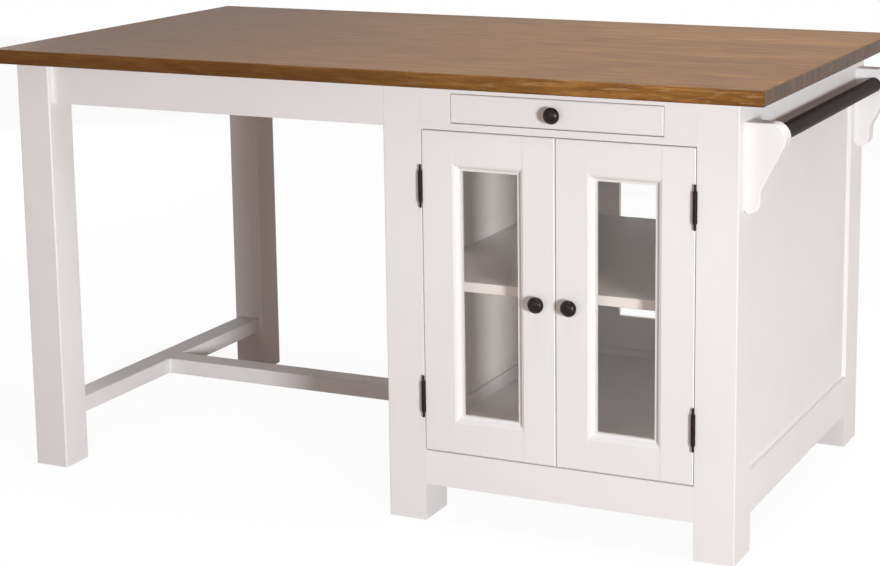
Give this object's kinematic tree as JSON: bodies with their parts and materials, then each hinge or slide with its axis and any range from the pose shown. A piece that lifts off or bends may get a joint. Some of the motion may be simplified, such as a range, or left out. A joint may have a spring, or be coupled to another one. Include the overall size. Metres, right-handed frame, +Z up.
{
  "type": "kitchen island",
  "caption": "Painted kitchen island with a stained wood top over table legs and a two-sided glazed cabinet with drawer and towel bar.",
  "frame": {"origin": "on the floor, at the middle of the whole outline in plan, towel bar brackets included", "axes": "+X along the top towards the cabinet and towel bar, +Y to the back, +Z up; the drawer opens towards -Y"},
  "size_m": [1.701, 0.93, 0.9],
  "materials": {
    "stained_top": "satin brown stain",
    "white_paint": "satin off-white paint",
    "bare_wood": "bare sanded wood",
    "window_glass": "clear polished",
    "dark_bronze": "dark bronze, satin",
    "zinc_steel": "zinc plated"
  },
  "bodies": {
    "root": {"back_apron": "white_paint", "back_bottom_rail": "white_paint", "back_left_leg": "white_paint", "back_left_post": "white_paint", "back_right_post": "white_paint", "back_top_rail": "white_paint", "bottom_board": "white_paint", "bottom_cleats": "bare_wood", "corner_blocks": "bare_wood", "cross_stretcher": "white_paint", "door_catches": "zinc_steel", "drawer_runners": "bare_wood", "front_apron": "white_paint", "front_bottom_rail": "white_paint", "front_drawer_rail": "white_paint", "front_left_leg": "white_paint", "front_left_post": "white_paint", "front_right_post": "white_paint", "left_end_apron": "white_paint", "left_side_panel": "white_paint", "left_side_rails": "white_paint", "long_stretcher": "white_paint", "post_hinges": "dark_bronze", "right_side_panel": "white_paint", "right_side_rails": "white_paint", "shelf": "white_paint", "shelf_cleats": "bare_wood", "tabletop": "stained_top", "top_battens": "bare_wood", "towel_bar": "dark_bronze", "towel_brackets": "white_paint"},
    "drawer": {"drawer_front": "white_paint", "drawer_sides": "bare_wood", "drawer_ends": "bare_wood", "drawer_bottom": "bare_wood", "drawer_knob": "dark_bronze"},
    "front_left_door": {"front_left_door_beads": "white_paint", "front_left_door_frame": "white_paint", "front_left_door_glass": "window_glass", "front_left_door_hardware": "dark_bronze", "front_left_door_knob": "dark_bronze"},
    "front_right_door": {"front_right_door_beads": "white_paint", "front_right_door_frame": "white_paint", "front_right_door_glass": "window_glass", "front_right_door_hardware": "dark_bronze", "front_right_door_knob": "dark_bronze"},
    "back_left_door": {"back_left_door_beads": "white_paint", "back_left_door_frame": "white_paint", "back_left_door_glass": "window_glass", "back_left_door_hardware": "dark_bronze", "back_left_door_knob": "dark_bronze"},
    "back_right_door": {"back_right_door_beads": "white_paint", "back_right_door_frame": "white_paint", "back_right_door_glass": "window_glass", "back_right_door_hardware": "dark_bronze", "back_right_door_knob": "dark_bronze"}
  },
  "joints": [
    {"name": "drawer_slide", "type": "slide", "parent": "root", "child": "drawer", "axis": [0, -1, 0], "range_m": [0, 0.33]},
    {"name": "front_left_door_hinge", "type": "hinge", "parent": "root", "child": "front_left_door", "pos_m": [0.1375, -0.438, 0.466], "axis": [0, 0, -1], "range_deg": [0, 165]},
    {"name": "front_right_door_hinge", "type": "hinge", "parent": "root", "child": "front_right_door", "pos_m": [0.6935, -0.438, 0.466], "axis": [0, 0, 1], "range_deg": [0, 165]},
    {"name": "back_left_door_hinge", "type": "hinge", "parent": "root", "child": "back_left_door", "pos_m": [0.1375, 0.438, 0.466], "axis": [0, 0, 1], "range_deg": [0, 165]},
    {"name": "back_right_door_hinge", "type": "hinge", "parent": "root", "child": "back_right_door", "pos_m": [0.6935, 0.438, 0.466], "axis": [0, 0, -1], "range_deg": [0, 165]}
  ]
}
